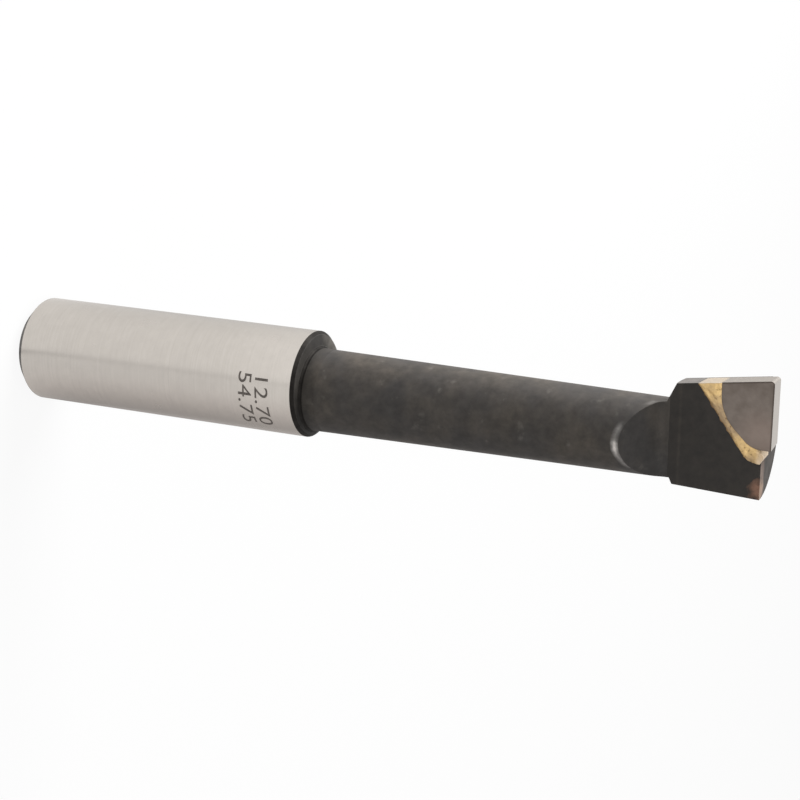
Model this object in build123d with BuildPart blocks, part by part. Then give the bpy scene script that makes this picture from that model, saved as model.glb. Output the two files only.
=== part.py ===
"""Solid boring bar with a brazed carbide tip.

The bar stands on the end of its shank. Its axis is Z, the rake face is parallel
to the XZ plane and looks along -Y, and the cutting nose points along -X.
Three pieces: the steel bar, the carbide tip and the braze that holds it.
All lengths are in millimetres and all angles in degrees.
"""

import os
from math import cos, radians, sin, tan

from build123d import *

# Shank
shank_diameter = 12.7
shank_length = 39.0  # from the end face to the shoulder
shank_end_chamfer = 1.05
shoulder_chamfer = 0.4

# Neck, turned about an axis that stands off the shank's, away from the nose
neck_length = 43.9  # from the shoulder to its hidden end in the head
neck_offset = 0.6
neck_root_diameter = 9.88
neck_front_diameter = 8.8
neck_root_fillet = 0.3
flange_margin = 0.05  # of the hidden flange that the fillet runs out on

# Head, turned about an axis that stands off towards the nose
head_diameter = 13.65
head_offset = 0.7
head_length = 10.85  # from the neck's hidden end to the cutting edge
head_taper = 2.35  # each side, smaller towards the neck
head_back_angle = 64.5  # cone behind the head, from the shank's axis
head_back_setback = 2.65  # apex of that cone, behind the neck's hidden end

# Milled rake flat, which runs out into the neck along a ramp
flat_ahead = 0.8  # of the shank's axis
ramp_angle = 45.0  # between the ramp and the flat
ramp_foot_setback = 1.3  # foot of the ramp, behind the neck's hidden end
ramp_foot_radius = 2.0

# Cutting edges and the clearance ground behind them
nose_reach = 7.45  # from the shank's axis to the nose
nose_radius = 0.4
side_edge_angle = 8.2
side_relief = 5.0
side_relief_width = 3.3
side_second_relief = 25.0
end_relief = 2.0
steel_end_relief = 1.0
steel_end_setback = 1.0  # steel end face behind the cutting edge

# Carbide tip
tip_thickness = 3.18
tip_length = 5.7
tip_width = 7.85
tip_rear_flat = 4.3
tip_front_flat = 2.15
tip_rear_radius = 5.0
tip_lower_radius = 2.5

# Braze and the pocket that it fills
braze_film = 0.1
braze_gap = 0.32  # behind the tip's rear corner
braze_under_edge = 1.45  # between the tip's lower edge and the pocket's ledge
braze_recess = 0.15  # below the ground side face
pocket_wall_angle = 54.5  # from the shank's axis
pocket_corner_radius = 1.5

# Room that a cutter is given past the metal it removes
overcut = 5.0

# Levels along the axis and distances across it
shank_radius = shank_diameter / 2
head_radius = head_diameter / 2
neck_front_z = shank_length + neck_length
edge_z = neck_front_z + head_length
steel_end_z = edge_z - steel_end_setback
ramp_foot_z = neck_front_z - ramp_foot_setback
pocket_depth = tip_thickness + braze_film
beyond_head = head_radius + head_offset + overcut
beyond_edge_z = edge_z + overcut

neck_axis = Axis((neck_offset, 0, 0), (0, 0, 1))
head_axis = Axis((-head_offset, 0, 0), (0, 0, 1))

# Sketches on these planes draw X across and Z up, and a negative extrusion goes behind the rake face
profile = Plane.XZ
rake = Plane.XZ.offset(flat_ahead)

# The side cutting edge climbs from the neck to the nose and leans outwards
side_edge = Vector(-sin(radians(side_edge_angle)), 0, cos(radians(side_edge_angle)))
side_outward = Vector(-cos(radians(side_edge_angle)), 0, -sin(radians(side_edge_angle)))
nose = Vector(-nose_reach, -flat_ahead, edge_z)


def side_clearance_plane(relief, depth, inset=0.0):
    """Plane along the side edge, tilted by relief from a line that lies depth behind the rake face."""
    lost = depth * tan(radians(side_relief)) + inset
    origin = nose + Vector(0, depth, 0) - side_outward * lost
    across = side_outward * cos(radians(relief)) + Vector(0, sin(radians(relief)), 0)
    return Plane(origin=origin, x_dir=side_edge, z_dir=across)


def end_clearance_plane(level, relief):
    """Plane through the rake face at level, falling away behind it by relief."""
    upward = Vector(0, sin(radians(relief)), cos(radians(relief)))
    return Plane(origin=(0, -flat_ahead, level), x_dir=(1, 0, 0), z_dir=upward)


side_face = side_clearance_plane(side_relief, 0.0)
side_second_face = side_clearance_plane(side_second_relief, side_relief_width)
recessed_side_face = side_clearance_plane(side_relief, 0.0, braze_recess)
tip_end_face = end_clearance_plane(edge_z, end_relief)
steel_end_face = end_clearance_plane(steel_end_z, steel_end_relief)

# Corners of the tip's back, seen on the rake face
tip_rear_z = edge_z - tip_length
tip_lower_x = tip_width - nose_reach
tip_rear_corner = Vector(tip_rear_flat - nose_reach, tip_rear_z)
tip_lower_corner = Vector(tip_lower_x, edge_z - tip_front_flat)

# The pocket's wall passes behind the tip's rear corner and widens towards the ledge
wall_run = Vector(sin(radians(pocket_wall_angle)), cos(radians(pocket_wall_angle)))
wall_start = tip_rear_corner + Vector(wall_run.Y, -wall_run.X) * braze_gap
ledge_x = tip_lower_x + braze_under_edge


def wall_point(x):
    """Point of the pocket's wall at the given X."""
    return wall_start + wall_run * ((x - wall_start.X) / wall_run.X)


# ---------------------------------------------------------------- steel bar
with BuildPart() as bar:
    # Head blank, turned with a slight back taper
    blank_length = head_length + overcut
    blank_back_radius = head_radius - blank_length * tan(radians(head_taper))
    with BuildSketch(profile):
        with BuildLine():
            Polyline(
                (-head_offset, edge_z - blank_length),
                (-head_offset + blank_back_radius, edge_z - blank_length),
                (-head_offset + head_radius, edge_z),
                (-head_offset, edge_z),
                close=True,
            )
        make_face()
    revolve(axis=head_axis)

    # Cone behind the head, turned about the shank's axis
    cone_apex_z = neck_front_z - head_back_setback
    cone_rim_z = cone_apex_z + beyond_head / tan(radians(head_back_angle))
    with BuildSketch(profile):
        with BuildLine():
            Polyline(
                (0, cone_apex_z),
                (beyond_head, cone_rim_z),
                (beyond_head, beyond_edge_z),
                (0, beyond_edge_z),
                close=True,
            )
        make_face()
    revolve(axis=Axis.Z, mode=Mode.INTERSECT)

    # Ground side and end faces
    split(bisect_by=side_face, keep=Keep.BOTTOM)
    split(bisect_by=side_second_face, keep=Keep.BOTTOM)
    split(bisect_by=steel_end_face, keep=Keep.BOTTOM)

    # Tapered neck, with its fillet against the shoulder
    neck_root_radius = neck_root_diameter / 2
    neck_front_radius = neck_front_diameter / 2
    flange_radius = neck_root_radius + neck_root_fillet + flange_margin
    with BuildSketch(profile):
        with BuildLine():
            Polyline(
                (neck_offset, shank_length - shoulder_chamfer),
                (neck_offset + flange_radius, shank_length - shoulder_chamfer),
                (neck_offset + flange_radius, shank_length),
                (neck_offset + neck_root_radius, shank_length),
                (neck_offset + neck_front_radius, neck_front_z),
                (neck_offset, neck_front_z),
                close=True,
            )
        make_face()
        root_corner = Vector(neck_offset + neck_root_radius, shank_length)
        fillet(vertices().sort_by_distance(root_corner)[0], radius=neck_root_fillet)
    revolve(axis=neck_axis)

    # Shank, with its two chamfers
    with BuildSketch(profile):
        with BuildLine():
            Polyline(
                (0, 0),
                (shank_radius - shank_end_chamfer, 0),
                (shank_radius, shank_end_chamfer),
                (shank_radius, shank_length - shoulder_chamfer),
                (shank_radius - shoulder_chamfer, shank_length),
                (0, shank_length),
                close=True,
            )
        make_face()
    revolve(axis=Axis.Z)

    # Rake flat and its ramp, drawn from the side with Y across and Z up
    ramp_run = (beyond_head - flat_ahead) / tan(radians(ramp_angle))
    with BuildSketch(Plane.YZ):
        with BuildLine():
            Polyline(
                (-flat_ahead, beyond_edge_z),
                (-flat_ahead, ramp_foot_z),
                (-beyond_head, ramp_foot_z - ramp_run),
                (-beyond_head, beyond_edge_z),
                close=True,
            )
        make_face()
        ramp_foot = Vector(-flat_ahead, ramp_foot_z)
        fillet(vertices().sort_by_distance(ramp_foot)[0], radius=ramp_foot_radius)
    extrude(amount=beyond_head, both=True, mode=Mode.SUBTRACT)

    # Pocket for the tip, open to the side and to the end
    with BuildSketch(rake):
        with BuildLine():
            Polyline(
                wall_point(-beyond_head),
                wall_point(ledge_x),
                (ledge_x, beyond_edge_z),
                (-beyond_head, beyond_edge_z),
                close=True,
            )
        make_face()
        fillet(vertices().sort_by_distance(wall_point(ledge_x))[0], radius=pocket_corner_radius)
    extrude(amount=-pocket_depth, mode=Mode.SUBTRACT)

# ---------------------------------------------------------------- carbide tip
with BuildPart() as carbide_tip:
    with BuildSketch(rake):
        with BuildLine():
            Polyline(
                (-beyond_head, tip_rear_z),
                tip_rear_corner,
                tip_lower_corner,
                (tip_lower_x, beyond_edge_z),
                (-beyond_head, beyond_edge_z),
                close=True,
            )
        make_face()
        fillet(vertices().sort_by_distance(tip_rear_corner)[0], radius=tip_rear_radius)
        fillet(vertices().sort_by_distance(tip_lower_corner)[0], radius=tip_lower_radius)
    extrude(amount=-tip_thickness)
    split(bisect_by=side_face, keep=Keep.BOTTOM)
    split(bisect_by=tip_end_face, keep=Keep.BOTTOM)
    fillet(edges().sort_by_distance(nose + Vector(0, tip_thickness / 2, 0))[0], radius=nose_radius)

# ---------------------------------------------------------------- braze
with BuildPart() as braze_filler:
    with BuildSketch(rake):
        with BuildLine():
            Polyline(
                wall_point(-beyond_head),
                wall_point(ledge_x),
                (ledge_x, beyond_edge_z),
                (-beyond_head, beyond_edge_z),
                close=True,
            )
        make_face()
        fillet(vertices().sort_by_distance(wall_point(ledge_x))[0], radius=pocket_corner_radius)
    extrude(amount=-pocket_depth)
    split(bisect_by=recessed_side_face, keep=Keep.BOTTOM)
    split(bisect_by=steel_end_face, keep=Keep.BOTTOM)
    add(carbide_tip.part, mode=Mode.SUBTRACT)

os.makedirs("parts", exist_ok=True)
bar.part.label = "bar"
carbide_tip.part.label = "carbide_tip"
braze_filler.part.label = "braze_filler"
export_step(bar.part, "parts/bar.step")
export_step(carbide_tip.part, "parts/carbide_tip.step")
export_step(braze_filler.part, "parts/braze_filler.step")
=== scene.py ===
"""Looks of a solid boring bar with a brazed carbide tip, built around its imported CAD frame.

The bar stands on the end of its shank, with its axis along Z, the rake face looking along -Y
and the cutting nose along -X. Lengths are in metres unless a comment says otherwise.
"""

import math

import bmesh
import bpy
from mathutils import Matrix, Vector, noise


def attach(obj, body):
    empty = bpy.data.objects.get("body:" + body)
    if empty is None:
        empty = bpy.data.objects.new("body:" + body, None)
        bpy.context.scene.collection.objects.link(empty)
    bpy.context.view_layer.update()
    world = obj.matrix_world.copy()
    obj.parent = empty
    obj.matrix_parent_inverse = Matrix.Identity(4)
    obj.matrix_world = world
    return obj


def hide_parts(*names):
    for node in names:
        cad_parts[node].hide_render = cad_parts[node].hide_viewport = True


bl_info = {
    "name": "Boring bar",
    "version": (1, 0, 0),
    "blender": (4, 5, 0),
    "location": "View3D > Sidebar > Boring bar",
    "description": "Gives a brazed boring bar its finishes, tip, braze, size mark and stage",
    "category": "Object",
}

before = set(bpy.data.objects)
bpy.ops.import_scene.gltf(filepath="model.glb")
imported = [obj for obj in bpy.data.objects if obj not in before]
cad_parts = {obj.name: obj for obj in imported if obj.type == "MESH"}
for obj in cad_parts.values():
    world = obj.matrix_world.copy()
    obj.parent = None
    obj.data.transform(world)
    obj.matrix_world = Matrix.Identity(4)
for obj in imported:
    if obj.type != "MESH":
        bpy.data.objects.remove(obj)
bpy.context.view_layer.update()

MM = 0.001

# Sizes shared with the solids
SHANK_RADIUS = 6.35 * MM
SHANK_END_CHAMFER = 1.05 * MM
SHANK_GROUND_TOP = 38.6 * MM
SHOULDER = 39.0 * MM
RAKE_Y = -0.8 * MM
RAMP_FOOT = 81.6 * MM
RAMP_ANGLE = math.radians(45.0)
EDGE_Z = 93.75 * MM
STEEL_END = 92.75 * MM
NOSE_REACH = 7.45 * MM
NOSE_RADIUS = 0.4 * MM
SIDE_EDGE_ANGLE = math.radians(8.2)
SIDE_RELIEF = math.radians(5.0)
END_RELIEF = math.radians(2.0)
TIP_THICKNESS = 3.18 * MM
TIP_LENGTH = 5.7 * MM
TIP_LOWER_X = 0.4 * MM
TIP_REAR_CORNER = Vector((-3.15 * MM, RAKE_Y, EDGE_Z - TIP_LENGTH))
TIP_LOWER_CORNER = Vector((TIP_LOWER_X, RAKE_Y, EDGE_Z - 2.15 * MM))
TIP_REAR_RADIUS = 5.0 * MM
TIP_LOWER_RADIUS = 2.5 * MM
POCKET_DEPTH = 3.28 * MM
POCKET_WALL_ANGLE = math.radians(54.5)
BRAZE_GAP = 0.32 * MM
LEDGE_X = 1.85 * MM

# The braze lies less far below the ground side than its solid does
BRAZE_RECESS = 0.02 * MM

SIDE_NORMAL = Vector(
    (
        -math.cos(SIDE_EDGE_ANGLE) * math.cos(SIDE_RELIEF),
        math.sin(SIDE_RELIEF),
        -math.sin(SIDE_EDGE_ANGLE) * math.cos(SIDE_RELIEF),
    )
)
END_NORMAL = Vector((0, math.sin(END_RELIEF), math.cos(END_RELIEF)))
WALL_RUN = Vector((math.sin(POCKET_WALL_ANGLE), 0, math.cos(POCKET_WALL_ANGLE)))
WALL_NORMAL = Vector((math.cos(POCKET_WALL_ANGLE), 0, -math.sin(POCKET_WALL_ANGLE)))
RAMP_NORMAL = Vector((0, -math.cos(RAMP_ANGLE / 2), -math.sin(RAMP_ANGLE / 2)))
NOSE = Vector((-NOSE_REACH, RAKE_Y, EDGE_Z))
WALL_POINT = TIP_REAR_CORNER + WALL_NORMAL * BRAZE_GAP

# Where the finish changes
HEAD_START = 82.0 * MM
BEYOND_TIP = 99.0 * MM
CUTTER_STOP = (83.35 * MM, 83.85 * MM)  # band of the line that the milling cutter left
SHANK_PALER_FROM = 28.0 * MM
SKIN_FADE = (92.5 * MM, 93.1 * MM)  # levels where the flux skin on the braze begins and is full
RESIDUE_SPOT = Vector((5.0 * MM, -0.6 * MM, 92.9 * MM))
WARM_SPOT = Vector((-1.2 * MM, RAKE_Y, 92.6 * MM))
HIGHLIGHT_SIDE = (-0.5, 0.87, 0)  # way from the axis to the side of the shoulder with the painted highlight

# Spacing of the grinding marks, drawn coarser than the real ones so that they show
SHANK_RING_SPACING = 0.15 * MM
CARBIDE_LINE_SPACING = 0.12 * MM

# Rows of the etched numbers
UPPER_ROW = 34.0 * MM
LOWER_ROW = 31.8 * MM
FIGURE_HEIGHT = 0.72  # as a share of the font's size
ETCH_DEPTH = 0.04 * MM
ETCH_PROUD = 0.002 * MM

# Stage
CARD_LEVEL = 0.05 * MM
FLOOR_WHITE_SHARE = 0.92  # the rest shows its shadows

# Each table below starts with the two ends of its range

# Levels of the fan of card round the bar, by the angle in degrees from -Y towards +X
FAN_LEVELS = (
    (-180, 0.6), (180, 0.6), (-142, 0.84), (-87, 0.96), (-19, 0.95), (-13, 0.93), (-9, 0.6),
    (-4, 0.86), (9, 0.82), (28, 0.8), (49, 0.7), (73, 0.56), (105, 0.42), (150, 0.55),
)

# Brightness of the bare burr along the ramp's crest, by X in millimetres
BURR_LEVELS = (
    (-4.0, 0.15), (4.0, 0.0), (-3.6, 0.12), (-3.3, 0.0), (-1.9, 0.0), (-1.4, 0.15), (-1.0, 0.32),
    (0.0, 0.26), (0.3, 0.42), (0.6, 0.95), (1.3, 1.0), (1.65, 0.72), (2.0, 0.44), (2.7, 0.36),
    (3.1, 0.32), (3.4, 0.2), (3.7, 0.0),
)

# Thick and golden against thin and dull along the braze, by X in millimetres
BRAZE_POOLS = (
    (-7.5, 1.0), (2.0, 0.3), (-5.4, 1.0), (-4.7, 0.6), (-4.0, 0.1), (-1.6, 0.05), (-0.8, 0.5),
    (-0.1, 1.0), (1.0, 1.0), (1.4, 0.45),
)


# ------------------------------------------------------------------ helpers
def linear(hex_colour):
    """Linear RGBA of an sRGB hex colour."""
    channels = [int(hex_colour[i : i + 2], 16) / 255 for i in (1, 3, 5)]
    turned = [c / 12.92 if c <= 0.04045 else ((c + 0.055) / 1.055) ** 2.4 for c in channels]
    return (*turned, 1.0)


def add_node(tree, kind, settings=None, inputs=None):
    """Adds a node with its settings; each input takes a value or a link from a socket."""
    made = tree.nodes.new(kind)
    for name, value in (settings or {}).items():
        setattr(made, name, value)
    for socket, value in (inputs or {}).items():
        if isinstance(value, bpy.types.NodeSocket):
            tree.links.new(value, made.inputs[socket])
        else:
            made.inputs[socket].default_value = value
    return made


def set_stops(ramp, stops, tint=(1.0, 1.0, 1.0)):
    """Gives a colour ramp a table of levels, whose first two entries are its ends."""
    elements = ramp.color_ramp.elements
    low, high = stops[0][0], stops[1][0]
    for i, (at, level) in enumerate(stops):
        position = (at - low) / (high - low)
        stop = elements[i] if i < 2 else elements.new(position)
        stop.position = position
        stop.color = (*(level * share for share in tint), 1.0)


def new_material(name):
    """A new material, its emptied tree and the socket that its shader goes to."""
    material = bpy.data.materials.new(name)
    material.use_nodes = True
    tree = material.node_tree
    tree.nodes.clear()
    return material, tree, add_node(tree, "ShaderNodeOutputMaterial").inputs["Surface"]


def seen_as_white(tree):
    """1 for the rays that see floor and surroundings as plain white, 0 for those that light."""
    ray = add_node(tree, "ShaderNodeLightPath").outputs
    seen = ray["Is Camera Ray"]
    for kind in ("Is Glossy Ray", "Is Transmission Ray"):
        seen = add_node(
            tree, "ShaderNodeMath", {"operation": "MAXIMUM"}, {0: seen, 1: ray[kind]}
        ).outputs[0]
    return seen


def finish_piece(bm, name, material, replaced=None, smooth_angle=None):
    """Turns a bmesh into a piece that rides on the bar."""
    bmesh.ops.remove_doubles(bm, verts=bm.verts, dist=1e-7)
    bmesh.ops.recalc_face_normals(bm, faces=bm.faces)
    mesh = bpy.data.meshes.new(name)
    bm.to_mesh(mesh)
    bm.free()
    piece = bpy.data.objects.new(name, mesh)
    bpy.context.scene.collection.objects.link(piece)
    piece.data.materials.append(material)
    if smooth_angle is not None:
        mesh.shade_smooth()
        mesh.set_sharp_from_angle(angle=smooth_angle)
    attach(piece, "root")
    if replaced:
        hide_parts(replaced)
    return piece


# ---------------------------------------------------------------- materials
def steel_material(looks):
    """Hardened tool steel, black oxided all over, then ground on the shank and the clearance faces.

    The oxide is a dull black skin that lets warm brown through. The ground shank is a pale satin
    with fine rings round it. Milling left a faint straight line across the oxided flat.
    """
    material, tree, surface = new_material("black_oxide_and_ground_tool_steel")
    place = add_node(tree, "ShaderNodeTexCoord").outputs["Object"]
    at = add_node(tree, "ShaderNodeSeparateXYZ", inputs={0: place}).outputs
    normal = add_node(tree, "ShaderNodeNewGeometry").outputs["True Normal"]
    crest_noise, clouds, specks, grain = (
        add_node(
            tree, "ShaderNodeTexNoise",
            inputs={"Vector": place, "Scale": 1 / (size * MM), "Detail": detail},
        ).outputs["Fac"]
        for size, detail in ((0.7, 3.0), (6.0, 5.0), (1.4, 8.0), (0.25, 4.0))
    )

    # Bands along the bar, each from one level to another with a soft edge
    bands = {}
    for name, low, high, soft in (
        ("shank", SHANK_END_CHAMFER, SHANK_GROUND_TOP, 0.03 * MM),
        ("shoulder", SHANK_GROUND_TOP, SHOULDER + 2.0 * MM, 0.01 * MM),
        ("chamfer", SHANK_GROUND_TOP + 0.01 * MM, SHOULDER - 0.02 * MM, 0.01 * MM),
        ("root", SHOULDER + 0.01 * MM, SHOULDER + 0.45 * MM, 0.02 * MM),
        ("head", HEAD_START, BEYOND_TIP, 0.4 * MM),
        ("line", *CUTTER_STOP, 0.25 * MM),
    ):
        rise = add_node(
            tree, "ShaderNodeMapRange", inputs={0: at["Z"], 1: low, 2: low + soft}
        ).outputs[0]
        fall = add_node(
            tree, "ShaderNodeMapRange", inputs={0: at["Z"], 1: high, 2: high - soft}
        ).outputs[0]
        bands[name] = add_node(
            tree, "ShaderNodeMath", {"operation": "MULTIPLY"}, {0: rise, 1: fall}
        ).outputs[0]
    shank = bands["shank"]

    # Faces of the head, found by the way they face
    faces = {}
    for name, way, least in (
        ("side", SIDE_NORMAL, 0.995),
        ("front", Vector((0, 0, 1)), 0.995),
        ("milled", RAMP_NORMAL, 0.91),
    ):
        along = add_node(
            tree, "ShaderNodeVectorMath", {"operation": "DOT_PRODUCT"}, {0: normal, 1: way}
        ).outputs["Value"]
        faces[name] = add_node(
            tree, "ShaderNodeMapRange", inputs={0: along, 1: least - 0.002, 2: least + 0.002}
        ).outputs[0]
    for name in ("side", "front"):
        faces[name] = add_node(
            tree, "ShaderNodeMath", {"operation": "MULTIPLY"}, {0: faces[name], 1: bands["head"]}
        ).outputs[0]

    # Distance behind the crest, where the milled ramp breaks out of the neck
    ramp_level = add_node(
        tree, "ShaderNodeMath", {"operation": "SUBTRACT"}, {0: at["Z"], 1: at["Y"]}
    ).outputs[0]
    behind = add_node(
        tree, "ShaderNodeMath", {"operation": "SUBTRACT"}, {0: RAMP_FOOT - RAKE_Y, 1: ramp_level}
    ).outputs[0]
    past_crest = add_node(
        tree, "ShaderNodeMapRange", inputs={0: behind, 1: 0.03 * MM, 2: 0.01 * MM}
    ).outputs[0]
    milled = add_node(
        tree, "ShaderNodeMath", {"operation": "MULTIPLY"}, {0: faces["milled"], 1: past_crest}
    ).outputs[0]

    # Bare burr behind the crest: a bright streak low down, with a thin tail and faint wisps
    share = add_node(
        tree, "ShaderNodeMapRange",
        inputs={0: at["X"], 1: BURR_LEVELS[0][0] * MM, 2: BURR_LEVELS[1][0] * MM},
    ).outputs[0]
    levels = add_node(tree, "ShaderNodeValToRGB", inputs={0: share})
    set_stops(levels, BURR_LEVELS)
    burr = levels.outputs[0]
    centre = add_node(
        tree, "ShaderNodeMapRange",
        inputs={0: at["X"], 1: 1.5 * MM, 2: 2.6 * MM, 3: 0.5 * MM, 4: 0.3 * MM},
    ).outputs[0]
    aside = add_node(
        tree, "ShaderNodeMath", {"operation": "SUBTRACT"}, {0: behind, 1: centre}
    ).outputs[0]
    aside = add_node(tree, "ShaderNodeMath", {"operation": "ABSOLUTE"}, {0: aside}).outputs[0]
    for source, none, full, least in (
        (aside, 0.52 * MM, 0.05 * MM, 0.0),
        (behind, 0.0, 0.06 * MM, 0.0),
        (at["Y"], RAKE_Y - 0.1 * MM, RAKE_Y - 0.3 * MM, 0.0),
        (crest_noise, 0.65, 0.45, 0.7),
    ):
        limit = add_node(
            tree, "ShaderNodeMapRange", inputs={0: source, 1: none, 2: full, 3: least}
        ).outputs[0]
        burr = add_node(
            tree, "ShaderNodeMath", {"operation": "MULTIPLY"}, {0: burr, 1: limit}
        ).outputs[0]

    # Oxide: large brown clouds and a few pale rubbed specks
    patch = add_node(tree, "ShaderNodeMapRange", inputs={0: clouds, 1: 0.35, 2: 0.65}).outputs[0]
    speck = add_node(
        tree, "ShaderNodeMapRange", inputs={0: specks, 1: 0.63, 2: 0.78, 4: 0.45}
    ).outputs[0]

    # Milled flat, the ramp darkened by painted shade against the light it catches, and a faint
    # paler line where the cutter stopped
    ramp_shade_share = add_node(
        tree, "ShaderNodeMapRange",
        inputs={0: at["Z"], 1: RAMP_FOOT + 0.85 * MM, 2: RAMP_FOOT + 0.45 * MM},
    ).outputs[0]
    cutter_line = add_node(
        tree, "ShaderNodeMath", {"operation": "MULTIPLY"}, {0: bands["line"], 1: specks}
    ).outputs[0]
    milled_oxide = looks.milled_colour
    for mask, layer in (
        (ramp_shade_share, looks.ramp_painted_shade_colour), (cutter_line, looks.milled_line_colour),
    ):
        milled_oxide = add_node(
            tree, "ShaderNodeMix", {"data_type": "RGBA"}, {0: mask, 6: milled_oxide, 7: layer}
        ).outputs[2]

    # Ground steel: rings of the grinding wheel, drawn coarse, on a shank that pales to the shoulder
    rings_place = add_node(
        tree, "ShaderNodeVectorMath", {"operation": "MULTIPLY"},
        {0: place, 1: (40.0, 40.0, 1 / SHANK_RING_SPACING)},
    ).outputs["Vector"]
    rings = add_node(
        tree, "ShaderNodeTexNoise", inputs={"Vector": rings_place, "Scale": 1.0, "Detail": 2.0}
    ).outputs["Fac"]
    ring_tone = add_node(
        tree, "ShaderNodeMapRange", inputs={0: rings, 1: 0.3, 2: 0.7, 3: 0.97, 4: 1.02}
    ).outputs[0]
    near_shoulder = add_node(
        tree, "ShaderNodeMapRange",
        inputs={0: at["Z"], 1: SHANK_PALER_FROM, 2: SHANK_GROUND_TOP, 3: 1.0, 4: 1.07},
    ).outputs[0]
    ring_tone = add_node(
        tree, "ShaderNodeMath", {"operation": "MULTIPLY"}, {0: ring_tone, 1: near_shoulder}
    ).outputs[0]
    ground = add_node(
        tree, "ShaderNodeVectorMath", {"operation": "SCALE"},
        {0: looks.ground_colour[:3], "Scale": ring_tone},
    ).outputs["Vector"]
    side_ground = add_node(
        tree, "ShaderNodeMix", {"data_type": "RGBA"},
        {0: clouds, 6: looks.ground_face_colour, 7: looks.ground_face_dark_colour},
    ).outputs[2]

    # Front of the head: a warm paler strip beside the rake face, dull grey behind it
    strip_end = add_node(
        tree, "ShaderNodeMath", {"operation": "MULTIPLY_ADD"},
        {0: crest_noise, 1: 0.8 * MM, 2: at["Y"]},
    ).outputs[0]
    from_rake = add_node(
        tree, "ShaderNodeMapRange",
        inputs={0: strip_end, 1: RAKE_Y + 1.6 * MM, 2: RAKE_Y + 2.4 * MM},
    ).outputs[0]
    front_ground = add_node(
        tree, "ShaderNodeMix", {"data_type": "RGBA"},
        {0: from_rake, 6: looks.front_edge_colour, 7: looks.front_colour},
    ).outputs[2]

    # Copper coloured residue of the flux at the lower front corner
    away = add_node(
        tree, "ShaderNodeVectorMath", {"operation": "DISTANCE"}, {0: place, 1: RESIDUE_SPOT}
    ).outputs["Value"]
    blotch = add_node(
        tree, "ShaderNodeMath", {"operation": "MULTIPLY_ADD"},
        {0: crest_noise, 1: 1.4 * MM, 2: away},
    ).outputs[0]
    residue = add_node(
        tree, "ShaderNodeMapRange", inputs={0: blotch, 1: 2.3 * MM, 2: 1.3 * MM}
    ).outputs[0]
    residue_colour = add_node(
        tree, "ShaderNodeMix", {"data_type": "RGBA"},
        {0: faces["front"], 6: looks.residue_colour, 7: looks.residue_front_colour},
    ).outputs[2]

    # Black oxide of the shoulder with painted shade, darkest in the chamfer and root fillet and
    # fading over the face; a painted highlight on the side away from the rake face
    root_fade = add_node(
        tree, "ShaderNodeMapRange",
        inputs={0: at["Z"], 1: SHOULDER + 0.3 * MM, 2: SHOULDER + 2.0 * MM, 3: 0.7, 4: 0.0},
    ).outputs[0]
    skin_and_painted_shade = add_node(
        tree, "ShaderNodeMath", {"operation": "MULTIPLY"}, {0: bands["shoulder"], 1: root_fade}
    ).outputs[0]
    black_and_shaded_rings = add_node(
        tree, "ShaderNodeMath", {"operation": "MAXIMUM"}, {0: bands["chamfer"], 1: bands["root"]}
    ).outputs[0]
    skin_and_painted_shade = add_node(
        tree, "ShaderNodeMath", {"operation": "MAXIMUM"}, {0: skin_and_painted_shade, 1: black_and_shaded_rings}
    ).outputs[0]
    # Painted highlight: the pale speck colour on the shoulder's face, on the side that the key lamp
    # lights
    sideways = add_node(
        tree, "ShaderNodeVectorMath", {"operation": "DOT_PRODUCT"}, {0: place, 1: HIGHLIGHT_SIDE}
    ).outputs["Value"]
    lit_rim = add_node(
        tree, "ShaderNodeMapRange", inputs={0: sideways, 1: 3.8 * MM, 2: 5.8 * MM}
    ).outputs[0]
    face_only = add_node(
        tree, "ShaderNodeMapRange", inputs={0: black_and_shaded_rings, 3: 1.0, 4: 0.0}
    ).outputs[0]
    for limit in (bands["shoulder"], face_only):
        lit_rim = add_node(
            tree, "ShaderNodeMath", {"operation": "MULTIPLY"}, {0: lit_rim, 1: limit}
        ).outputs[0]

    # Each finish, painted shade or painted highlight over the one before it
    colour = looks.oxide_colour
    for mask, layer in (
        (patch, looks.oxide_worn_colour),
        (speck, looks.oxide_speck_and_highlight_colour),
        (skin_and_painted_shade, looks.shoulder_oxide_and_shade_colour),
        (lit_rim, looks.oxide_speck_and_highlight_colour),
        (milled, milled_oxide),
        (faces["side"], side_ground),
        (faces["front"], front_ground),
        (shank, ground),
        (burr, looks.burr_colour),
        (residue, residue_colour),
    ):
        colour = add_node(
            tree, "ShaderNodeMix", {"data_type": "RGBA"}, {0: mask, 6: colour, 7: layer}
        ).outputs[2]

    # Mottle of about a millimetre over the oxide, gentle on the ground shank
    mottle = add_node(
        tree, "ShaderNodeTexNoise",
        inputs={"Vector": place, "Scale": 1 / (1.3 * MM), "Detail": 4.0, "Roughness": 0.6},
    ).outputs["Fac"]
    mottled = add_node(
        tree, "ShaderNodeMapRange", inputs={0: mottle, 1: 0.3, 2: 0.7, 3: 0.65, 4: 1.35}
    ).outputs[0]
    shank_tone = add_node(
        tree, "ShaderNodeMapRange", inputs={0: mottle, 1: 0.3, 2: 0.7, 3: 0.975, 4: 1.025}
    ).outputs[0]
    mottled = add_node(
        tree, "ShaderNodeMix", {"data_type": "FLOAT"}, {0: shank, 2: mottled, 3: shank_tone}
    ).outputs[0]
    colour = add_node(
        tree, "ShaderNodeVectorMath", {"operation": "SCALE"}, {0: colour, "Scale": mottled}
    ).outputs["Vector"]

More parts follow.
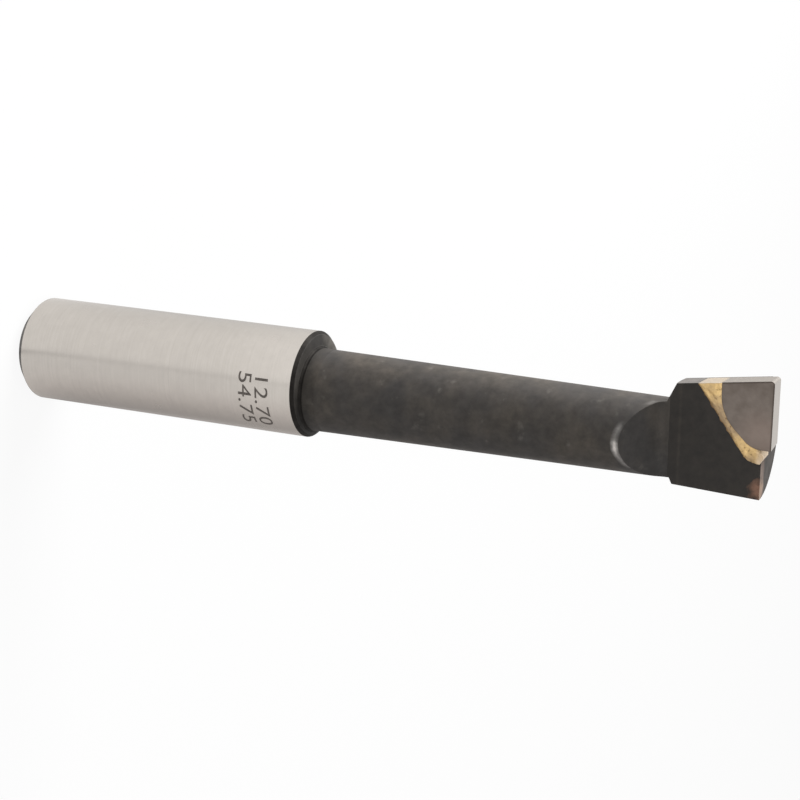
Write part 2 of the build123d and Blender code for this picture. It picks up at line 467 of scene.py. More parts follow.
    # Bare metal is smoother than the oxide; the black rings shine as metal does but stay dull
    bare = shank
    for mask in (faces["side"], burr):
        bare = add_node(
            tree, "ShaderNodeMath", {"operation": "MAXIMUM"}, {0: bare, 1: mask}
        ).outputs[0]
    metal = add_node(
        tree, "ShaderNodeMath", {"operation": "MAXIMUM"}, {0: bare, 1: black_and_shaded_rings}
    ).outputs[0]
    dullness = add_node(tree, "ShaderNodeMapRange", inputs={0: bare, 3: 0.5, 4: 0.22}).outputs[0]
    for mask, share in ((faces["front"], 0.35), (bands["shoulder"], 0.15)):
        dullness = add_node(
            tree, "ShaderNodeMath", {"operation": "MULTIPLY_ADD"}, {0: mask, 1: share, 2: dullness}
        ).outputs[0]
    roughness = add_node(
        tree, "ShaderNodeMath", {"operation": "MULTIPLY_ADD"}, {0: clouds, 1: 0.08, 2: dullness}
    ).outputs[0]

    # Relief: grinding rings on the shank, skin grain elsewhere
    height = add_node(
        tree, "ShaderNodeMix", {"data_type": "FLOAT"}, {0: shank, 2: grain, 3: rings}
    ).outputs[0]
    bump = add_node(
        tree, "ShaderNodeBump", inputs={"Strength": 0.25, "Distance": 0.02 * MM, "Height": height}
    ).outputs["Normal"]
    shader = add_node(
        tree, "ShaderNodeBsdfPrincipled",
        inputs={
            "Base Color": colour, "Metallic": metal, "Roughness": roughness,
            "Specular IOR Level": 0.35, "Normal": bump,
        },
    ).outputs[0]
    tree.links.new(shader, surface)
    return material


def carbide_material(looks):
    """Sintered tungsten carbide: a dull brown grey face, and flanks ground to a pale satin."""
    material, tree, surface = new_material("sintered_carbide_ground_flanks")
    place = add_node(tree, "ShaderNodeTexCoord").outputs["Object"]
    normal = add_node(tree, "ShaderNodeNewGeometry").outputs["True Normal"]
    facing = add_node(
        tree, "ShaderNodeVectorMath", {"operation": "DOT_PRODUCT"}, {0: normal, 1: (0, -1, 0)}
    ).outputs["Value"]
    face = add_node(tree, "ShaderNodeMapRange", inputs={0: facing, 1: 0.9, 2: 0.99}).outputs[0]

    # Face: soft clouds, a warmer patch towards the front and painted shade as a dark rim along the
    # cutting edges
    clouds = add_node(
        tree, "ShaderNodeTexNoise",
        inputs={"Vector": place, "Scale": 1 / (1.6 * MM), "Detail": 5.0},
    ).outputs["Fac"]
    patch = add_node(tree, "ShaderNodeMapRange", inputs={0: clouds, 1: 0.35, 2: 0.65}).outputs[0]
    warm = add_node(
        tree, "ShaderNodeVectorMath", {"operation": "DISTANCE"}, {0: place, 1: WARM_SPOT}
    ).outputs["Value"]
    warm = add_node(
        tree, "ShaderNodeMapRange", inputs={0: warm, 1: 3.4 * MM, 2: 1.0 * MM, 4: 0.55}
    ).outputs[0]
    rims = {}
    for i, way in enumerate((SIDE_NORMAL, END_NORMAL)):
        reach = add_node(
            tree, "ShaderNodeVectorMath", {"operation": "DOT_PRODUCT"}, {0: place, 1: way}
        ).outputs["Value"]
        edge = NOSE.dot(way)
        rims[i] = add_node(
            tree, "ShaderNodeMapRange",
            inputs={0: reach, 1: edge - 0.22 * MM, 2: edge - 0.08 * MM, 4: 0.75},
        ).outputs[0]
    rim = add_node(tree, "ShaderNodeMath", {"operation": "MAXIMUM"}, rims).outputs[0]
    sintered = looks.carbide_colour
    for mask, layer in (
        (patch, looks.carbide_dark_colour), (warm, looks.carbide_warm_colour),
        (rim, looks.carbide_edge_shade_colour),
    ):
        sintered = add_node(
            tree, "ShaderNodeMix", {"data_type": "RGBA"}, {0: mask, 6: sintered, 7: layer}
        ).outputs[2]

    # Flanks: grinding lines, drawn coarse, and painted shade on the honed edge
    lines_place = add_node(
        tree, "ShaderNodeVectorMath", {"operation": "MULTIPLY"},
        {0: place, 1: (300.0, 1 / CARBIDE_LINE_SPACING, 300.0)},
    ).outputs["Vector"]
    lines = add_node(
        tree, "ShaderNodeTexNoise", inputs={"Vector": lines_place, "Scale": 1.0, "Detail": 2.0}
    ).outputs["Fac"]
    tone = add_node(
        tree, "ShaderNodeMapRange", inputs={0: lines, 1: 0.3, 2: 0.7, 3: 0.88, 4: 1.04}
    ).outputs[0]
    flank = add_node(
        tree, "ShaderNodeVectorMath", {"operation": "SCALE"},
        {0: looks.carbide_flank_colour[:3], "Scale": tone},
    ).outputs["Vector"]
    honed = add_node(tree, "ShaderNodeMapRange", inputs={0: facing, 1: 0.15, 2: 0.3}).outputs[0]
    edged = add_node(
        tree, "ShaderNodeMix", {"data_type": "RGBA"},
        {0: honed, 6: flank, 7: looks.carbide_edge_shade_colour},
    ).outputs[2]
    colour = add_node(
        tree, "ShaderNodeMix", {"data_type": "RGBA"}, {0: face, 6: edged, 7: sintered}
    ).outputs[2]
    roughness = add_node(tree, "ShaderNodeMapRange", inputs={0: face, 3: 0.3, 4: 0.46}).outputs[0]
    bump = add_node(
        tree, "ShaderNodeBump", inputs={"Strength": 0.2, "Distance": 0.015 * MM, "Height": lines}
    ).outputs["Normal"]
    shader = add_node(
        tree, "ShaderNodeBsdfPrincipled",
        inputs={"Base Color": colour, "Metallic": 0.85, "Roughness": roughness, "Normal": bump},
    ).outputs[0]
    tree.links.new(shader, surface)
    return material


def braze_material(looks):
    """Brass brazing alloy as it froze: golden, lumpy and pitted with dark flux."""
    material, tree, surface = new_material("frozen_brass_braze")
    place = add_node(tree, "ShaderNodeTexCoord").outputs["Object"]
    lumps = add_node(
        tree, "ShaderNodeTexNoise",
        inputs={"Vector": place, "Scale": 1 / (0.8 * MM), "Detail": 4.0},
    ).outputs["Fac"]
    at = add_node(tree, "ShaderNodeSeparateXYZ", inputs={0: place}).outputs

    # Golden where it pooled thick, dull where it ran thin
    share = add_node(
        tree, "ShaderNodeMapRange",
        inputs={0: at["X"], 1: BRAZE_POOLS[0][0] * MM, 2: BRAZE_POOLS[1][0] * MM},
    ).outputs[0]
    pools = add_node(tree, "ShaderNodeValToRGB", inputs={0: share})
    set_stops(pools, BRAZE_POOLS)
    tone = add_node(tree, "ShaderNodeMapRange", inputs={0: lumps, 1: 0.35, 2: 0.65}).outputs[0]
    tone = add_node(
        tree, "ShaderNodeMath", {"operation": "MULTIPLY_ADD"}, {0: tone, 1: 0.4, 2: -0.2}
    ).outputs[0]
    tone = add_node(
        tree, "ShaderNodeMath", {"operation": "MULTIPLY_ADD", "use_clamp": True},
        {0: pools.outputs[0], 1: 0.8, 2: tone},
    ).outputs[0]

    # Dark flux in the pits and along the pocket's wall
    flecks = add_node(
        tree, "ShaderNodeTexNoise",
        inputs={"Vector": place, "Scale": 1 / (0.35 * MM), "Detail": 3.0},
    ).outputs["Fac"]
    fleck = add_node(
        tree, "ShaderNodeMapRange", inputs={0: flecks, 1: 0.6, 2: 0.7, 4: 0.6}
    ).outputs[0]
    from_wall = add_node(
        tree, "ShaderNodeVectorMath", {"operation": "DOT_PRODUCT"}, {0: place, 1: WALL_NORMAL}
    ).outputs["Value"]
    from_wall = add_node(
        tree, "ShaderNodeMath", {"operation": "MULTIPLY_ADD"},
        {0: lumps, 1: 0.5 * MM, 2: from_wall},
    ).outputs[0]
    level = WALL_POINT.dot(WALL_NORMAL)
    stain = add_node(
        tree, "ShaderNodeMapRange",
        inputs={0: from_wall, 1: level + 0.08 * MM, 2: level + 0.28 * MM, 4: 0.8},
    ).outputs[0]

    # Pale skin on the front end, and bright metal where the side was ground off with the tip
    frontward = add_node(
        tree, "ShaderNodeMath", {"operation": "MULTIPLY_ADD"}, {0: lumps, 1: 0.8 * MM, 2: at["Z"]}
    ).outputs[0]
    skin = add_node(
        tree, "ShaderNodeMapRange", inputs={0: frontward, 1: SKIN_FADE[0], 2: SKIN_FADE[1], 4: 0.75}
    ).outputs[0]
    sideward = add_node(
        tree, "ShaderNodeVectorMath", {"operation": "DOT_PRODUCT"}, {0: place, 1: SIDE_NORMAL}
    ).outputs["Value"]
    flush = NOSE.dot(SIDE_NORMAL)
    ground_off = add_node(
        tree, "ShaderNodeMapRange",
        inputs={0: sideward, 1: flush - 0.08 * MM, 2: flush - 0.04 * MM, 4: 0.85},
    ).outputs[0]

    # Each of these over the one before it
    colour = looks.braze_dull_colour
    for mask, layer in (
        (tone, looks.braze_colour), (fleck, looks.flux_colour), (stain, looks.flux_colour),
        (skin, looks.skin_colour), (ground_off, looks.braze_ground_colour),
    ):
        colour = add_node(
            tree, "ShaderNodeMix", {"data_type": "RGBA"}, {0: mask, 6: colour, 7: layer}
        ).outputs[2]
    bump = add_node(
        tree, "ShaderNodeBump", inputs={"Strength": 0.5, "Distance": 0.05 * MM, "Height": lumps}
    ).outputs["Normal"]
    shader = add_node(
        tree, "ShaderNodeBsdfPrincipled",
        inputs={"Base Color": colour, "Metallic": 0.8, "Roughness": 0.42, "Normal": bump},
    ).outputs[0]
    tree.links.new(shader, surface)
    return material


def etch_material(looks):
    """Acid etched steel: a matt grey stain that looks soft against the ground metal."""
    material, tree, surface = new_material("acid_etched_steel")
    place = add_node(tree, "ShaderNodeTexCoord").outputs["Object"]
    stain = add_node(
        tree, "ShaderNodeTexNoise",
        inputs={"Vector": place, "Scale": 1 / (0.3 * MM), "Detail": 3.0},
    ).outputs["Fac"]
    colour = add_node(
        tree, "ShaderNodeMix", {"data_type": "RGBA"},
        {0: stain, 6: looks.etch_colour, 7: looks.etch_pale_colour},
    ).outputs[2]
    shader = add_node(
        tree, "ShaderNodeBsdfPrincipled",
        inputs={"Base Color": colour, "Metallic": 0.4, "Roughness": 0.6},
    ).outputs[0]
    tree.links.new(shader, surface)
    return material


# ------------------------------------------------------------------- shapes
def cut_along(bm, point, way, drop_beyond=True):
    """Cuts along a plane, drops what lies beyond it if asked, and gives the cut's edges."""
    geometry = bm.verts[:] + bm.edges[:] + bm.faces[:]
    cut = bmesh.ops.bisect_plane(
        bm, geom=geometry, dist=1e-8, plane_co=point, plane_no=way, clear_outer=drop_beyond
    )
    return [g for g in cut["geom_cut"] if isinstance(g, bmesh.types.BMEdge)]


def grow(bm, faces):
    """Extrudes faces in place and gives the new vertices, which are yet to be moved."""
    grown = bmesh.ops.extrude_face_region(bm, geom=faces)
    return {g for g in grown["geom"] if isinstance(g, bmesh.types.BMVert)}


def round_edges(bm, edges, offset, steps):
    """Rounds edges with an arc of so many steps."""
    bmesh.ops.bevel(
        bm, geom=edges, offset=offset, offset_type="OFFSET", segments=steps, profile=0.5,
        affect="EDGES", material=-1,
    )


def corner_offset(first, second, radius):
    """How far back from a corner a round of this radius starts."""
    return radius * math.tan(first.angle(second) / 2)


def tip_mesh(looks):
    """The carbide tip: outline, thickness, clearance faces, rounds and honed edges."""
    beyond = 3 * MM
    bm = bmesh.new()
    outline = [
        Vector((-NOSE_REACH - beyond, RAKE_Y, TIP_REAR_CORNER.z)),
        TIP_REAR_CORNER,
        TIP_LOWER_CORNER,
        Vector((TIP_LOWER_X, RAKE_Y, EDGE_Z + beyond)),
        Vector((-NOSE_REACH - beyond, RAKE_Y, EDGE_Z + beyond)),
    ]
    face = bm.faces.new([bm.verts.new(p) for p in outline])
    bmesh.ops.translate(bm, verts=list(grow(bm, [face])), vec=(0, TIP_THICKNESS, 0))
    for way in (SIDE_NORMAL, END_NORMAL):
        bmesh.ops.holes_fill(bm, edges=cut_along(bm, NOSE, way), sides=0)
    bmesh.ops.recalc_face_normals(bm, faces=bm.faces)

    back = Vector((1, 0, 0))
    slant = (TIP_LOWER_CORNER - TIP_REAR_CORNER).normalized()
    front = Vector((0, 0, 1))
    side = Vector((-math.sin(SIDE_EDGE_ANGLE), 0, math.cos(SIDE_EDGE_ANGLE)))
    for corner, first, second, radius, steps in (
        (TIP_REAR_CORNER, back, slant, TIP_REAR_RADIUS, 14),
        (TIP_LOWER_CORNER, slant, front, TIP_LOWER_RADIUS, 10),
        (NOSE, side, back, NOSE_RADIUS, 8),
    ):
        near = [
            e
            for e in bm.edges
            if abs((e.verts[0].co - e.verts[1].co).normalized().y) > 0.9
            and min((v.co - corner).length for v in e.verts) < 0.05 * MM
        ]
        round_edges(bm, near, corner_offset(first, second, radius), steps)
    sharp = [e for e in bm.edges if e.is_manifold and e.calc_face_angle() > math.radians(40)]
    round_edges(bm, sharp, looks.honed_edge, 2)
    return bm


def depth_in_outline(point):
    """How far a point of the rake plane lies inside the back of the tip's rounded outline."""
    slant = (TIP_LOWER_CORNER - TIP_REAR_CORNER).normalized()
    rear_out = Vector((0, 0, -1))
    slant_out = Vector((slant.z, 0, -slant.x))
    lower_out = Vector((1, 0, 0))
    depth = min(
        -(point - TIP_REAR_CORNER).dot(rear_out),
        -(point - TIP_REAR_CORNER).dot(slant_out),
        -(point - TIP_LOWER_CORNER).dot(lower_out),
    )
    for corner, first, second, radius in (
        (TIP_REAR_CORNER, rear_out, slant_out, TIP_REAR_RADIUS),
        (TIP_LOWER_CORNER, slant_out, lower_out, TIP_LOWER_RADIUS),
    ):
        to_corner = (first + second) * radius / (1 + first.dot(second))
        arm = point - (corner - to_corner)
        if all(arm.dot(to_corner - way * to_corner.dot(way)) > 0 for way in (first, second)):
            depth = min(depth, radius - arm.length)
    return depth


def braze_mesh(looks):
    """The braze: a lumpy bed that fills the pocket round and under the tip."""
    step = 0.07 * MM
    touching = 0.01 * MM
    film = 0.01 * MM  # that keeps the braze off the plane of the rake face
    sunk = 0.05 * MM
    corner_cut = 0.17 * MM  # between the pocket's corner and each flat that stands for its round
    low = Vector((-NOSE_REACH, 0, 84.5 * MM))  # just below the pocket
    high = Vector((LEDGE_X, 0, STEEL_END))
    middle = (low + high) / 2
    size = high - low
    bm = bmesh.new()
    bmesh.ops.create_grid(
        bm,
        x_segments=int(size.x / step),
        y_segments=int(size.z / step),
        size=0.5,
        matrix=Matrix.Translation((middle.x, RAKE_Y, middle.z))
        @ Matrix.Rotation(math.radians(90), 4, "X")
        @ Matrix.Diagonal((size.x, size.z, 1, 1)),
    )
    corner_point = WALL_POINT + WALL_RUN * ((LEDGE_X - WALL_POINT.x) / WALL_RUN.x)
    side_point = NOSE - SIDE_NORMAL * BRAZE_RECESS
    cuts = [(WALL_POINT, WALL_NORMAL), (side_point, SIDE_NORMAL)]
    for share in (0.3, 0.7):
        turned = WALL_NORMAL.slerp(Vector((1, 0, 0)), share)
        cuts.append((corner_point - turned * corner_cut, turned))
    for point, way in cuts:
        cut_along(bm, point, way)
    bmesh.ops.translate(bm, verts=list(grow(bm, bm.faces[:])), vec=(0, POCKET_DEPTH, 0))

    front_rim = [
        e
        for e in bm.edges
        if abs(e.verts[0].co.y - e.verts[1].co.y) > POCKET_DEPTH / 2
        and e.verts[0].co.z > STEEL_END - touching
    ]
    bmesh.ops.subdivide_edges(bm, edges=front_rim, cuts=14, use_grid_fill=True)

    # The front end swells between the tip and the ledge
    top = [v for v in bm.verts if v.co.y < RAKE_Y + touching]
    for v in bm.verts:
        if v.co.z > STEEL_END - touching:
            seed = v.co / MM
            depth = (v.co.y - RAKE_Y) / POCKET_DEPTH
            across = (v.co.x - TIP_LOWER_X) / (LEDGE_X - TIP_LOWER_X)
            arch = max(0.0, 1.0 - (2.0 * across - 1.0) ** 2) if 0 < across < 1 else 0.0
            push = arch * (1.0 - depth) * looks.braze_bulge
            v.co.z += push * (0.8 + noise.fractal(seed * 1.5, 1.0, 2.0, 3)) - sunk

    # The rake side sinks under the tip, and elsewhere lies in lumps with a ragged edge
    for v in top:
        p = v.co.copy()
        inside = depth_in_outline(p)
        if inside > 0.12 * MM:
            v.co.y += TIP_THICKNESS
            continue
        if inside > 0:
            v.co.y += sunk
            continue
        seed = p / MM
        to_wall = -(p - WALL_POINT).dot(WALL_NORMAL)
        rise = min(max(to_wall, 0.0) / (0.3 * MM), -inside / (0.25 * MM), 1.0)
        swell = (0.6 + noise.fractal(seed * 1.3, 1.0, 2.0, 3)) * looks.braze_lump
        bulge = max(1.0 - (STEEL_END - p.z) / (1.2 * MM), 0.0) * looks.braze_bulge
        v.co.y -= film + (swell + bulge) * rise
        spill = (noise.noise(seed * 1.4) - 0.05) * looks.braze_ragged
        if to_wall < touching and spill > 0:
            v.co += WALL_NORMAL * spill

    # The side was ground off with the tip
    for v in bm.verts:
        proud = (v.co - side_point).dot(SIDE_NORMAL)
        if proud > 0:
            v.co -= SIDE_NORMAL * proud
    return bm


def mark_mesh(looks):
    """Two short rows of plain numbers, etched round the shank next to the shoulder."""
    bm = bmesh.new()
    for text, level in ((looks.mark_upper, UPPER_ROW), (looks.mark_lower, LOWER_ROW)):
        curve = bpy.data.curves.new("mark_text", "FONT")
        curve.body = text
        curve.size = looks.mark_height / FIGURE_HEIGHT
        holder = bpy.data.objects.new("mark_text", curve)
        bpy.context.scene.collection.objects.link(holder)
        flat = bpy.data.meshes.new_from_object(holder)
        bpy.data.objects.remove(holder)
        line = bmesh.new()
        line.from_mesh(flat)
        bpy.data.meshes.remove(flat)
        bpy.data.curves.remove(curve)
        bmesh.ops.scale(line, verts=line.verts, vec=(looks.mark_stretch, 1, 1))
        reach = max(v.co.x for v in line.verts)
        step = 0.2 * MM  # between the cuts that let the figures bend round the shank
        for i in range(1, int(reach / step) + 1):
            cut_along(line, (i * step, 0, 0), (1, 0, 0), drop_beyond=False)
        deep = grow(line, line.faces[:])
        for v in line.verts:
            turn = looks.mark_start + v.co.x / SHANK_RADIUS
            radius = SHANK_RADIUS + (-ETCH_DEPTH if v in deep else ETCH_PROUD)
            v.co = Vector((radius * math.sin(turn), -radius * math.cos(turn), level + v.co.y))
        part = bpy.data.meshes.new("mark_line")
        line.to_mesh(part)
        line.free()
        bm.from_mesh(part)
        bpy.data.meshes.remove(part)
    return bm


# --------------------------------------------------------------- properties
def colour_property(name, description, hex_colour):
    """A colour that the user may change, given in sRGB hex."""
    return bpy.props.FloatVectorProperty(
        name=name, description=description, subtype="COLOR", size=4, min=0, max=1,
        default=linear(hex_colour),
    )


def length_property(name, description, default):
    """A length that the user may change."""
    return bpy.props.FloatProperty(
        name=name, description=description, unit="LENGTH", min=0.0, default=default
    )


class BoringBarLooks(bpy.types.PropertyGroup):
    """Colours and small sizes of the bar that a user may change."""

    ground_colour: colour_property("Ground shank", "Pale satin of the ground shank", "#CBC6C0")
    ground_face_colour: colour_property(
        "Ground face", "Ground clearance faces of the steel head", "#A29A94"
    )
    ground_face_dark_colour: colour_property(
        "Ground face, dark", "Darker patches of the ground clearance faces", "#7C7772"
    )
    oxide_colour: colour_property("Black oxide", "Black skin of the neck and head", "#353230")
    oxide_worn_colour: colour_property(
        "Black oxide, thin", "Thin brownish places of the black skin", "#464039"
    )
    # Also the colour of the painted highlight on the shoulder's lit side
    oxide_speck_and_highlight_colour: colour_property(
        "Rubbed specks", "Pale specks rubbed through the black skin", "#6A6660"
    )
    milled_colour: colour_property(
        "Milled flat", "Darker black oxide of the milled flat", "#27231F"
    )
    # Painted shade: the ramp's oxide is drawn darker to take back the extra light that the ramp
    # catches
    ramp_painted_shade_colour: colour_property(
        "Milled ramp", "Black oxide of the ramp, which faces the light more", "#0F0F0E"
    )
    # Partly painted shade: darker than the neck's oxide in the chamfer and root fillet, fading over
    # the face
    shoulder_oxide_and_shade_colour: colour_property(
        "Shoulder", "Thick black oxide of the shoulder's chamfer and root", "#2B2927"
    )
    milled_line_colour: colour_property(
        "Milling line", "Faint line that the cutter left across the flat", "#3C3630"
    )
    front_colour: colour_property("Ground front", "Dark ground front of the steel head", "#4B4744")
    front_edge_colour: colour_property(
        "Ground front, edge", "Paler strip of the front beside the rake face", "#80726A"
    )
    burr_colour: colour_property(
        "Bare burr", "Bright metal where the milled ramp breaks out", "#CFCBC7"
    )
    residue_front_colour: colour_property(
        "Copper residue, front", "Paler residue on the front face", "#A8907F"
    )
    residue_colour: colour_property(
        "Copper residue", "Copper coloured residue of the flux on the front corner", "#8C6854"
    )
    carbide_colour: colour_property("Carbide face", "Dull face of the sintered carbide", "#7E756E")
    carbide_dark_colour: colour_property(
        "Carbide face, dark", "Darker clouds of the sintered carbide", "#6C635C"
    )
    carbide_warm_colour: colour_property(
        "Carbide face, warm", "Warm lighter patch towards the front of the face", "#92837A"
    )
    # Painted shade: darkens the honed bevels and a thin rim of the face along the cutting edges
    carbide_edge_shade_colour: colour_property(
        "Carbide edge", "Dark honed edges round the carbide's face", "#4A413C"
    )
    carbide_flank_colour: colour_property(
        "Carbide flank", "Ground flanks of the carbide", "#ADA59C"
    )
    braze_colour: colour_property("Braze", "Golden brazing alloy", "#E4C388")
    braze_dull_colour: colour_property("Braze, dull", "Dull parts of the brazing alloy", "#A58E70")
    braze_ground_colour: colour_property(
        "Braze, ground", "Side of the braze, ground off with the tip", "#BDB3A6"
    )
    skin_colour: colour_property(
        "Flux skin", "Pale skin of flux on the front end of the braze", "#DCC8AE"
    )
    flux_colour: colour_property("Flux", "Dark flux in the pits of the braze", "#6A4E2E")
    etch_colour: colour_property("Etched mark", "Dark grey of the etched numbers", "#443E3A")
    etch_pale_colour: colour_property(
        "Etched mark, pale", "Paler places of the etched numbers", "#7C756F"
    )
    honed_edge: length_property("Honed edge", "Width of the tip's honed edges", 0.04 * MM)
    braze_lump: length_property("Braze lumps", "Height of the braze's lumps", 0.12 * MM)
    braze_bulge: length_property("Braze bulge", "How far the braze swells at the front", 0.35 * MM)
    braze_ragged: length_property(
        "Braze edge", "How far the braze's edge strays over the steel", 0.28 * MM
    )
    mark_upper: bpy.props.StringProperty(
        name="Upper number", description="Shank diameter in millimetres", default="12.70",
    )
    mark_lower: bpy.props.StringProperty(
        name="Lower number", description="Reach from the shoulder in millimetres", default="54.75",
    )
    mark_height: length_property("Number height", "Height of the etched numbers", 1.8 * MM)
    mark_stretch: bpy.props.FloatProperty(
        name="Number width", description="How much wider than the font the numbers are",
        default=1.3,
    )
    mark_start: bpy.props.FloatProperty(
        name="Number start", description="Angle round the shank where the numbers start",
        unit="ROTATION", default=math.radians(-23.0),
    )


class BoringBarStage(bpy.types.PropertyGroup):
    """Floor, lamps and camera."""

    floor_radius: bpy.props.FloatProperty(
        name="Floor radius", description="Radius of the round floor", unit="LENGTH", default=2.0,
    )
    key_power: bpy.props.FloatProperty(
        name="Key lamp", description="Power of the large lamp on the nose side",
        unit="POWER", default=5.6,
    )
    fill_power: bpy.props.FloatProperty(
        name="Fill lamp", description="Power of the lamp in front", unit="POWER", default=0.2,
    )
    world_level: bpy.props.FloatProperty(
        name="Sky level", description="Strength of the white surroundings", default=0.35,
    )


# ---------------------------------------------------------------- operators
class FinishSteelBar(bpy.types.Operator):
    """Gives the steel bar its ground and black oxide finish"""

    bl_idname = "boring_bar.finish_steel"
    bl_label = "Finish the steel bar"

    def execute(self, context):
        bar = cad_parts["bar"]
        material = steel_material(context.scene.boring_bar_looks)
        bar.data.materials.clear()
        bar.data.materials.append(material)
        return {"FINISHED"}


class AddCarbideTip(bpy.types.Operator):
    """Adds the carbide tip with its honed edges"""

    bl_idname = "boring_bar.add_tip"
    bl_label = "Add the carbide tip"

    def execute(self, context):
        looks = context.scene.boring_bar_looks
        finish_piece(
            tip_mesh(looks), "carbide_insert", carbide_material(looks),
            "carbide_tip", math.radians(20),
        )
        return {"FINISHED"}


class AddBraze(bpy.types.Operator):
    """Adds the lumpy braze round the tip"""

    bl_idname = "boring_bar.add_braze"
    bl_label = "Add the braze"

    def execute(self, context):
        looks = context.scene.boring_bar_looks
        finish_piece(
            braze_mesh(looks), "braze_bed", braze_material(looks),
            "braze_filler", math.radians(50),
        )
        return {"FINISHED"}


class AddSizeMark(bpy.types.Operator):
    """Adds the numbers etched on the shank"""

    bl_idname = "boring_bar.add_mark"
    bl_label = "Add the etched numbers"

    def execute(self, context):
        looks = context.scene.boring_bar_looks
        finish_piece(mark_mesh(looks), "size_mark", etch_material(looks))
        return {"FINISHED"}


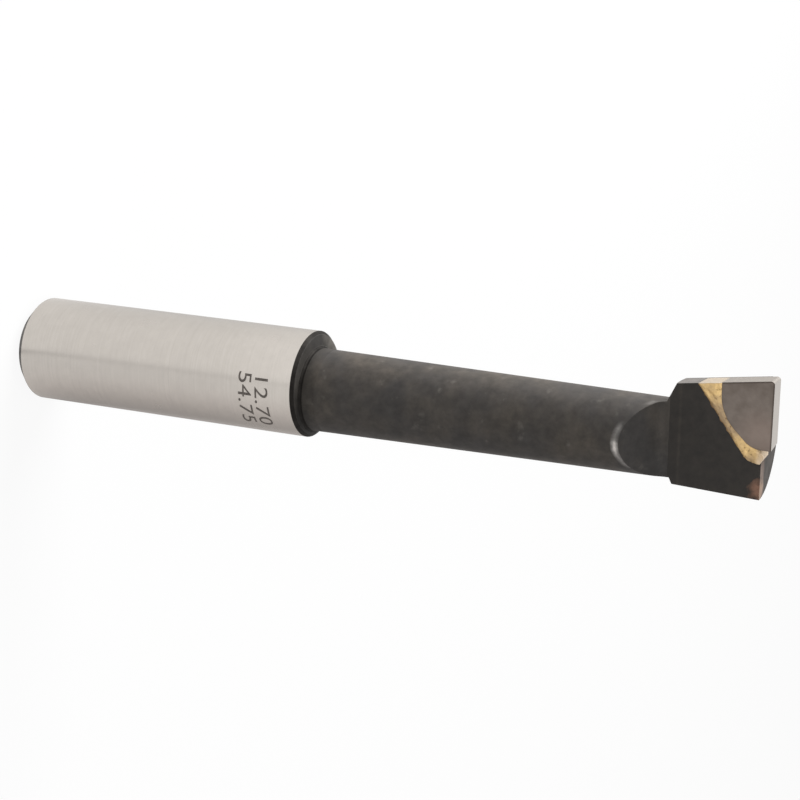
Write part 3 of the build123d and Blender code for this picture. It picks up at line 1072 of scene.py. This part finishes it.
class SetStage(bpy.types.Operator):
    """Adds the floor, the lamps, the surroundings and the camera"""

    bl_idname = "boring_bar.set_stage"
    bl_label = "Set the stage"

    def execute(self, context):
        scene = context.scene
        stage = scene.boring_bar_stage
        floor = self.add_disc("floor", stage.floor_radius, 0.0, self.floor_material())
        card = self.add_disc("shading_card", stage.floor_radius, CARD_LEVEL, self.card_material())
        for kind in ("camera", "diffuse", "shadow", "transmission"):
            setattr(card, "visible_" + kind, False)

        self.set_world(scene, stage.world_level)
        target = Vector((0, 0, 50 * MM))
        for name, place, size, power in (
            ("key_lamp", Vector((-0.433, 0.25, 0.28)), 0.45, stage.key_power),
            ("fill_lamp", Vector((0.20, -0.45, 0.35)), 0.35, stage.fill_power),
        ):
            lamp = bpy.data.lights.new(name, "AREA")
            lamp.size = size
            lamp.energy = power
            holder = bpy.data.objects.new(name, lamp)
            holder.location = place
            holder.rotation_euler = (target - place).to_track_quat("-Z", "Y").to_euler()
            scene.collection.objects.link(holder)

        # The camera lies on its side, so that the bar runs across the picture
        camera = bpy.data.cameras.new("camera")
        camera.lens = 85.0
        camera.sensor_width = 36.0
        camera.clip_start = 0.01
        camera.clip_end = 10.0
        holder = bpy.data.objects.new("camera", camera)
        right = Vector((0.0, 0.42045, 0.90732))
        up = Vector((-0.95501, 0.26907, -0.12469))
        back = Vector((-0.29656, -0.86650, 0.40154))
        turn = Matrix((right, up, back)).transposed()
        holder.location = Vector((-64.63, -190.44, 138.04)) * MM
        holder.rotation_euler = turn.to_euler()
        scene.collection.objects.link(holder)
        scene.camera = holder
        scene.view_settings.view_transform = "Standard"
        return {"FINISHED"}

    def add_disc(self, name, radius, level, material):
        """A flat round piece of the stage."""
        bm = bmesh.new()
        bmesh.ops.create_circle(
            bm, cap_ends=True, radius=radius, segments=64,
            matrix=Matrix.Translation((0, 0, level)),
        )
        mesh = bpy.data.meshes.new(name)
        bm.to_mesh(mesh)
        bm.free()
        disc = bpy.data.objects.new(name, mesh)
        bpy.context.scene.collection.objects.link(disc)
        mesh.materials.append(material)
        return disc

    def floor_material(self):
        """White studio paper: shadows fall on it, and it shows as white."""
        material, tree, surface = new_material("white_studio_paper")
        share = add_node(
            tree, "ShaderNodeMath", {"operation": "MULTIPLY"},
            {0: seen_as_white(tree), 1: FLOOR_WHITE_SHARE},
        ).outputs[0]
        paper = add_node(
            tree, "ShaderNodeBsdfDiffuse", inputs={"Color": linear("#F4F4F4")}
        ).outputs[0]
        white = add_node(
            tree, "ShaderNodeEmission", inputs={"Color": linear("#FFFFFF"), "Strength": 1.0}
        ).outputs[0]
        mixed = add_node(
            tree, "ShaderNodeMixShader", inputs={0: share, 1: paper, 2: white}
        ).outputs[0]
        tree.links.new(mixed, surface)
        return material

    def card_material(self):
        """A fan of pale and grey card round the bar, which only its gloss sees."""
        material, tree, surface = new_material("grey_fan_card")
        place = add_node(tree, "ShaderNodeTexCoord").outputs["Object"]
        at = add_node(tree, "ShaderNodeSeparateXYZ", inputs={0: place}).outputs
        front = add_node(
            tree, "ShaderNodeMath", {"operation": "MULTIPLY"}, {0: at["Y"], 1: -1.0}
        ).outputs[0]
        turn = add_node(
            tree, "ShaderNodeMath", {"operation": "ARCTAN2"}, {0: at["X"], 1: front}
        ).outputs[0]
        share = add_node(
            tree, "ShaderNodeMapRange", inputs={0: turn, 1: -math.pi, 2: math.pi}
        ).outputs[0]
        fan = add_node(tree, "ShaderNodeValToRGB", inputs={0: share})
        set_stops(fan, FAN_LEVELS, (1.0, 0.985, 0.97))
        pinker = add_node(
            tree, "ShaderNodeMapRange", inputs={0: turn, 1: math.radians(10), 2: math.radians(60)}
        ).outputs[0]
        tinted = add_node(
            tree, "ShaderNodeMix", {"data_type": "RGBA", "blend_type": "MULTIPLY"},
            {0: pinker, 6: fan.outputs[0], 7: (1.0, 0.97, 0.965, 1.0)},
        ).outputs[2]
        distance = add_node(
            tree, "ShaderNodeVectorMath", {"operation": "LENGTH"}, {0: place}
        ).outputs["Value"]
        strength = add_node(
            tree, "ShaderNodeMapRange",
            inputs={0: distance, 1: 25 * MM, 2: 100 * MM, 3: 1.0, 4: 1.08},
        ).outputs[0]
        white = add_node(
            tree, "ShaderNodeEmission", inputs={"Color": tinted, "Strength": strength}
        ).outputs[0]
        tree.links.new(white, surface)
        return material

    def set_world(self, scene, level):
        """White surroundings: full white to the camera and in gloss, dimmer as a light."""
        world = bpy.data.worlds.new("white_surroundings")
        world.use_nodes = True
        tree = world.node_tree
        tree.nodes.clear()
        strength = add_node(
            tree, "ShaderNodeMapRange", inputs={0: seen_as_white(tree), 3: level, 4: 1.0}
        ).outputs[0]
        background = add_node(
            tree, "ShaderNodeBackground", inputs={"Color": linear("#FFFFFF"), "Strength": strength}
        ).outputs[0]
        add_node(
            tree, "ShaderNodeOutputWorld", {"is_active_output": True}, {"Surface": background}
        )
        scene.world = world


class BoringBarPanel(bpy.types.Panel):
    """Lists the steps that dress the bar"""

    bl_idname = "VIEW3D_PT_boring_bar"
    bl_label = "Boring bar"
    bl_space_type = "VIEW_3D"
    bl_region_type = "UI"
    bl_category = "Boring bar"

    def draw(self, context):
        for step in STEPS:
            self.layout.operator(step.bl_idname)
        for group in (context.scene.boring_bar_looks, context.scene.boring_bar_stage):
            for name in group.__annotations__:
                self.layout.prop(group, name)


STEPS = (FinishSteelBar, AddCarbideTip, AddBraze, AddSizeMark, SetStage)
CLASSES = (BoringBarLooks, BoringBarStage, *STEPS, BoringBarPanel)


def register():
    for cls in CLASSES:
        bpy.utils.register_class(cls)
    bpy.types.Scene.boring_bar_looks = bpy.props.PointerProperty(type=BoringBarLooks)
    bpy.types.Scene.boring_bar_stage = bpy.props.PointerProperty(type=BoringBarStage)


def unregister():
    del bpy.types.Scene.boring_bar_stage
    del bpy.types.Scene.boring_bar_looks
    for cls in reversed(CLASSES):
        bpy.utils.unregister_class(cls)


def main():
    """Runs every step in order."""
    register()
    bpy.ops.boring_bar.finish_steel()
    bpy.ops.boring_bar.add_tip()
    bpy.ops.boring_bar.add_braze()
    bpy.ops.boring_bar.add_mark()
    bpy.ops.boring_bar.set_stage()


if __name__ == "__main__":
    main()
